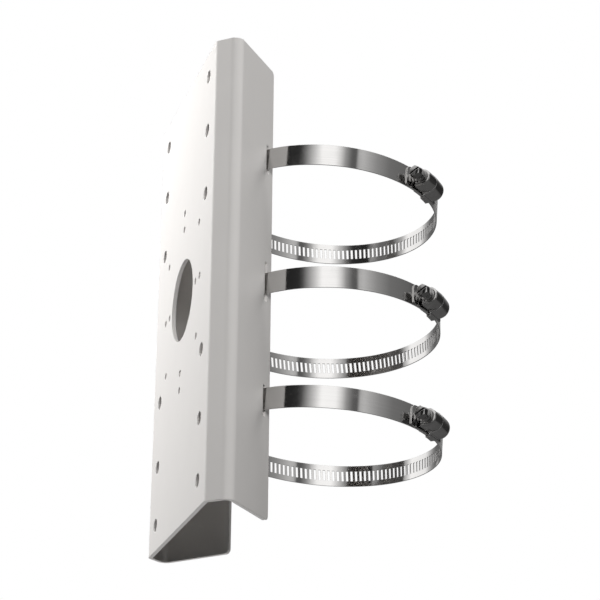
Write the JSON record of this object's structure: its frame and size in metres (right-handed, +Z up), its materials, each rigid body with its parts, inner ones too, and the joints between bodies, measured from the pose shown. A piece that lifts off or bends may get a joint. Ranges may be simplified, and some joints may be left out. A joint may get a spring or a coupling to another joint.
{
  "type": "camera pole mount bracket",
  "caption": "Folded steel channel with a drilled camera face, held to a pole by worm-drive band clamps through slots in its lips.",
  "frame": {"origin": "centre of the camera face, on the axis of the cable hole", "axes": "+Z up along the pole, -Y out of the camera face, +X to the right seen from the camera's side"},
  "size_m": [0.1542, 0.1695, 0.3],
  "materials": {
    "powder_coat": "fine satin powder coat on folded steel",
    "band_steel": "bright rolled stainless strip",
    "saddle_steel": "pressed stainless",
    "housing_steel": "pressed stainless, polished edges",
    "screw_steel": "turned and rolled steel"
  },
  "bodies": {
    "bracket_and_clamps": {"bracket": "powder_coat", "band_upper": "band_steel", "saddle_upper": "saddle_steel", "housing_upper": "housing_steel", "band_middle": "band_steel", "saddle_middle": "saddle_steel", "housing_middle": "housing_steel", "band_lower": "band_steel", "saddle_lower": "saddle_steel", "housing_lower": "housing_steel"},
    "screw_upper": {"screw_upper": "screw_steel"},
    "screw_middle": {"screw_middle": "screw_steel"},
    "screw_lower": {"screw_lower": "screw_steel"}
  },
  "joints": [
    {"name": "turn_screw_upper", "type": "hinge", "parent": "bracket_and_clamps", "child": "screw_upper", "pos_m": [0.06364, 0.1414, 0.07641], "axis": [0.6461, -0.7604, 0.0653], "continuous": true},
    {"name": "turn_screw_middle", "type": "hinge", "parent": "bracket_and_clamps", "child": "screw_middle", "pos_m": [0.06081, 0.14535, -0.00331], "axis": [0.6895, -0.7228, 0.0466], "continuous": true},
    {"name": "turn_screw_lower", "type": "hinge", "parent": "bracket_and_clamps", "child": "screw_lower", "pos_m": [0.06317, 0.14206, -0.08404], "axis": [0.654, -0.7536, 0.066], "continuous": true}
  ]
}
